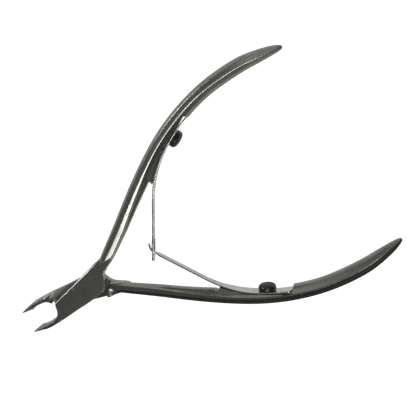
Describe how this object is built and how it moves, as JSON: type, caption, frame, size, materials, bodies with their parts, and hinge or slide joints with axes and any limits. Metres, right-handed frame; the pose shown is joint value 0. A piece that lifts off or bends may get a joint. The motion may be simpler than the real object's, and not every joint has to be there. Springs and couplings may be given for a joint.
{
  "type": "cuticle nipper",
  "caption": "Hand-held cuticle nipper: crossed levers on a flush lap joint, tapered cutting jaws, curved handles, and interlocking leaf springs that hold it open.",
  "frame": {"origin": "on the pivot axis, on the back face of the joint, where the rivet is ground flush", "axes": "+X along the tool's centre line towards the handle ends, +Y towards the front lever's handle, +Z along the pivot axis towards the front plate"},
  "size_m": [0.1014, 0.067, 0.0066],
  "materials": {
    "lever_steel": "polished stainless steel, ground flat on the joint plates",
    "rivet_steel": "ground flush",
    "spring_steel": "bright rolled strip",
    "screw_steel": "dark polished"
  },
  "bodies": {
    "rear_half": {"rear_lever": "lever_steel", "pivot_rivet": "rivet_steel", "lower_spring_screw": "screw_steel"},
    "front_half": {"front_lever": "lever_steel", "upper_spring_screw": "screw_steel"},
    "upper_leaf": {"upper_leaf_spring": "spring_steel"},
    "lower_leaf": {"lower_leaf_spring": "spring_steel"}
  },
  "joints": [
    {"name": "jaw_pivot", "type": "hinge", "parent": "rear_half", "child": "front_half", "pos_m": [0, 0, 0], "axis": [0, 0, -1], "range_deg": [0, 18.3], "stiffness_Nm_per_rad": 1.5, "springref_deg": -4.58},
    {"name": "upper_leaf_flex", "type": "hinge", "parent": "front_half", "child": "upper_leaf", "pos_m": [0.03443, 0.01568, 0.0023], "axis": [0, 0, -1], "range_deg": [0, 15.2], "deforming": ["upper_leaf_spring"]},
    {"name": "lower_leaf_flex", "type": "hinge", "parent": "rear_half", "child": "lower_leaf", "pos_m": [0.03506, -0.01698, 0.0023], "axis": [0, 0, 1], "range_deg": [0, 14.1], "deforming": ["lower_leaf_spring"]}
  ],
  "couplings": [
    {"joint": "upper_leaf_flex", "follows": "jaw_pivot", "ratio": 0.826},
    {"joint": "lower_leaf_flex", "follows": "jaw_pivot", "ratio": 0.765}
  ]
}
